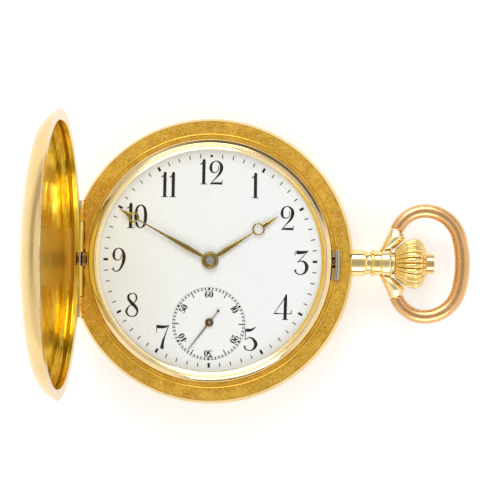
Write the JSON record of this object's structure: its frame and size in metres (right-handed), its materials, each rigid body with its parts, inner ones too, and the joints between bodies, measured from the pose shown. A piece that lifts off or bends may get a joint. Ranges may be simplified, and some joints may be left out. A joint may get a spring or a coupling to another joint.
{
  "type": "full hunter pocket watch",
  "caption": "Gold full hunter pocket watch with a sprung front lid, hinged back and inner cover, bow over a ribbed crown, and a hand-wound lever movement with small seconds.",
  "frame": {"origin": "middle of the small flat on the back lid that the watch lies on", "axes": "+Z out of the dial, +X through the crown at 3 o'clock, +Y to 12 o'clock"},
  "size_m": [0.0787, 0.0522, 0.0586],
  "materials": {
    "gold": "polished yellow gold",
    "rose_gold": "polished rose gold",
    "glass": "clear domed watch glass",
    "enamel": "white fired enamel",
    "hand_brass": "polished gilt",
    "bronze": "brown heat-blued steel",
    "brass": "polished brass",
    "gilt_brass": "frosted gilding",
    "steel": "polished steel",
    "blued_steel": "blued steel",
    "ruby": "polished synthetic ruby"
  },
  "bodies": {
    "case": {"case_band": "gold", "pendant": "gold", "bezel": "gold", "crystal": "glass", "front_hinge_pin": "steel", "back_hinge_pin": "steel", "cuvette_hinge_pin": "steel", "dial": "enamel", "main_plate": "gilt_brass", "barrel_bridge": "gilt_brass", "train_bridge": "gilt_brass", "pallet_bridge": "gilt_brass", "balance_cock": "gilt_brass", "jewels": "ruby", "bridge_screws": "blued_steel", "case_screws": "steel", "click_spring": "steel"},
    "lid_front": {"front_lid": "gold"},
    "lid_back": {"back_lid": "gold"},
    "inner_cover": {"cuvette": "gold"},
    "lid_lifter": {"lift_spring": "steel"},
    "lid_catch": {"catch_spring": "steel"},
    "clutch": {"clutch_wheel": "steel"},
    "crown_and_stem": {"crown": "gold", "winding_stem": "steel", "pusher_spring": "steel"},
    "push_piece": {"lid_pusher": "gold"},
    "bow_assembly": {"bow": "rose_gold", "bow_ends": "gold"},
    "pinion_winding": {"winding_pinion": "steel"},
    "wheel_crown": {"crown_wheel": "steel"},
    "ratchet": {"ratchet_wheel": "steel", "barrel_arbor": "steel"},
    "click_pawl": {"click": "steel"},
    "lever_setting": {"setting_lever": "steel"},
    "barrel": {"barrel_drum": "brass", "barrel_cover": "brass", "mainspring": "blued_steel"},
    "centre": {"centre_wheel": "brass", "centre_pinion": "steel", "cannon_pinion": "steel", "minute_hand": "hand_brass"},
    "third": {"third_wheel": "brass", "third_pinion": "steel"},
    "fourth": {"fourth_wheel": "brass", "fourth_pinion": "steel", "seconds_hand": "bronze"},
    "escape": {"escape_wheel": "brass", "escape_pinion": "steel"},
    "minute_work": {"minute_wheel": "brass"},
    "hour": {"hour_wheel": "brass", "hour_hand": "hand_brass"},
    "balance": {"balance_wheel": "brass", "balance_screws": "brass", "balance_staff": "steel", "impulse_roller": "ruby", "hairspring": "blued_steel"},
    "pallet": {"pallet_fork": "steel", "pallet_stones": "ruby"},
    "regulator_arm": {"regulator": "steel"}
  },
  "joints": [
    {"name": "front_lid_hinge", "type": "hinge", "parent": "case", "child": "lid_front", "pos_m": [-0.0239, 0, 0.0094], "axis": [0, 1, 0], "range_deg": [0, 92]},
    {"name": "back_lid_hinge", "type": "hinge", "parent": "case", "child": "lid_back", "pos_m": [-0.0241, 0, 0.0046], "axis": [0, 1, 0], "range_deg": [0, 95]},
    {"name": "cuvette_hinge", "type": "hinge", "parent": "case", "child": "inner_cover", "pos_m": [-0.02285, 0, 0.0043], "axis": [0, 1, 0], "range_deg": [0, 85.5]},
    {"name": "lift_spring_travel", "type": "slide", "parent": "case", "child": "lid_lifter", "axis": [0, 0, 1], "range_m": [-0.00062, 0]},
    {"name": "catch_travel", "type": "slide", "parent": "case", "child": "lid_catch", "axis": [1, 0, 0], "range_m": [-0.00045, 0]},
    {"name": "crown_spin", "type": "hinge", "parent": "case", "child": "clutch", "pos_m": [0.017, 0, 0.0064], "axis": [1, 0, 0], "continuous": true},
    {"name": "crown_pull", "type": "slide", "parent": "clutch", "child": "crown_and_stem", "axis": [1, 0, 0], "range_m": [0, 0.0009]},
    {"name": "pusher_press", "type": "slide", "parent": "crown_and_stem", "child": "push_piece", "axis": [1, 0, 0], "range_m": [-0.00045, 0], "stiffness_N_per_m": 150, "deforming": ["pusher_spring"]},
    {"name": "bow_swing", "type": "hinge", "parent": "case", "child": "bow_assembly", "pos_m": [0.0319, 0, 0.0064], "axis": [0, 1, 0], "range_deg": [-110, 110]},
    {"name": "winding_pinion_spin", "type": "hinge", "parent": "case", "child": "pinion_winding", "pos_m": [0.0176, 0, 0.0064], "axis": [1, 0, 0], "continuous": true},
    {"name": "crown_wheel_spin", "type": "hinge", "parent": "case", "child": "wheel_crown", "pos_m": [0.0134, 0, 0.003], "axis": [0, 0, 1], "continuous": true},
    {"name": "ratchet_spin", "type": "hinge", "parent": "case", "child": "ratchet", "pos_m": [0.00636, 0.00758, 0.003], "axis": [0, 0, 1], "continuous": true},
    {"name": "click_rock", "type": "hinge", "parent": "case", "child": "click_pawl", "pos_m": [-0.00067, 0.01132, 0.003], "axis": [0, 0, 1], "range_deg": [-8, 0], "stiffness_Nm_per_rad": 0.0001},
    {"name": "setting_lever_rock", "type": "hinge", "parent": "case", "child": "lever_setting", "pos_m": [0.017, 0.0047, 0.008], "axis": [0, 0, 1], "range_deg": [0, 11.3]},
    {"name": "centre_spin", "type": "hinge", "parent": "case", "child": "centre", "pos_m": [0, 0, 0.005], "axis": [0, 0, -1], "continuous": true},
    {"name": "barrel_spin", "type": "hinge", "parent": "case", "child": "barrel", "pos_m": [0.00636, 0.00758, 0.006], "axis": [0, 0, -1], "continuous": true},
    {"name": "third_spin", "type": "hinge", "parent": "case", "child": "third", "pos_m": [0.00401, -0.00625, 0.005], "axis": [0, 0, -1], "continuous": true},
    {"name": "fourth_spin", "type": "hinge", "parent": "case", "child": "fourth", "pos_m": [0, -0.0112, 0.006], "axis": [0, 0, -1], "continuous": true},
    {"name": "escape_spin", "type": "hinge", "parent": "case", "child": "escape", "pos_m": [-0.0052, -0.01212, 0.006], "axis": [0, 0, -1], "continuous": true},
    {"name": "minute_wheel_spin", "type": "hinge", "parent": "case", "child": "minute_work", "pos_m": [-0.0039, 0, 0.0083], "axis": [0, 0, -1], "continuous": true},
    {"name": "hour_spin", "type": "hinge", "parent": "case", "child": "hour", "pos_m": [0, 0, 0.0086], "axis": [0, 0, -1], "continuous": true},
    {"name": "balance_swing", "type": "hinge", "parent": "case", "child": "balance", "pos_m": [-0.0103, -0.00649, 0.004], "axis": [0, 0, -1], "range_deg": [-16, 16], "stiffness_Nm_per_rad": 0.0000002},
    {"name": "pallet_rock", "type": "hinge", "parent": "case", "child": "pallet", "pos_m": [-0.0076, -0.00947, 0.0053], "axis": [0, 0, -1], "range_deg": [-5.1, 5.1]},
    {"name": "regulator_turn", "type": "hinge", "parent": "case", "child": "regulator_arm", "pos_m": [-0.0103, -0.00649, 0.0024], "axis": [0, 0, 1], "range_deg": [-20, 20]}
  ],
  "couplings": [
    {"joint": "cuvette_hinge", "follows": "back_lid_hinge", "ratio": 0.9},
    {"joint": "lift_spring_travel", "follows": "front_lid_hinge", "m_per_rad": -0.00038612},
    {"joint": "catch_travel", "follows": "pusher_press", "ratio": 1},
    {"joint": "winding_pinion_spin", "follows": "crown_spin", "ratio": 1},
    {"joint": "crown_wheel_spin", "follows": "crown_spin", "ratio": 0.51852},
    {"joint": "ratchet_spin", "follows": "crown_spin", "ratio": -0.35897},
    {"joint": "setting_lever_rock", "follows": "crown_pull", "rad_per_m": 214.4},
    {"joint": "barrel_spin", "follows": "centre_spin", "ratio": -0.15385},
    {"joint": "third_spin", "follows": "centre_spin", "ratio": -8},
    {"joint": "fourth_spin", "follows": "centre_spin", "ratio": 60},
    {"joint": "escape_spin", "follows": "centre_spin", "ratio": -600},
    {"joint": "minute_wheel_spin", "follows": "centre_spin", "ratio": -0.33333},
    {"joint": "hour_spin", "follows": "centre_spin", "ratio": 0.083333},
    {"joint": "pallet_rock", "follows": "balance_swing", "ratio": -0.30945}
  ]
}
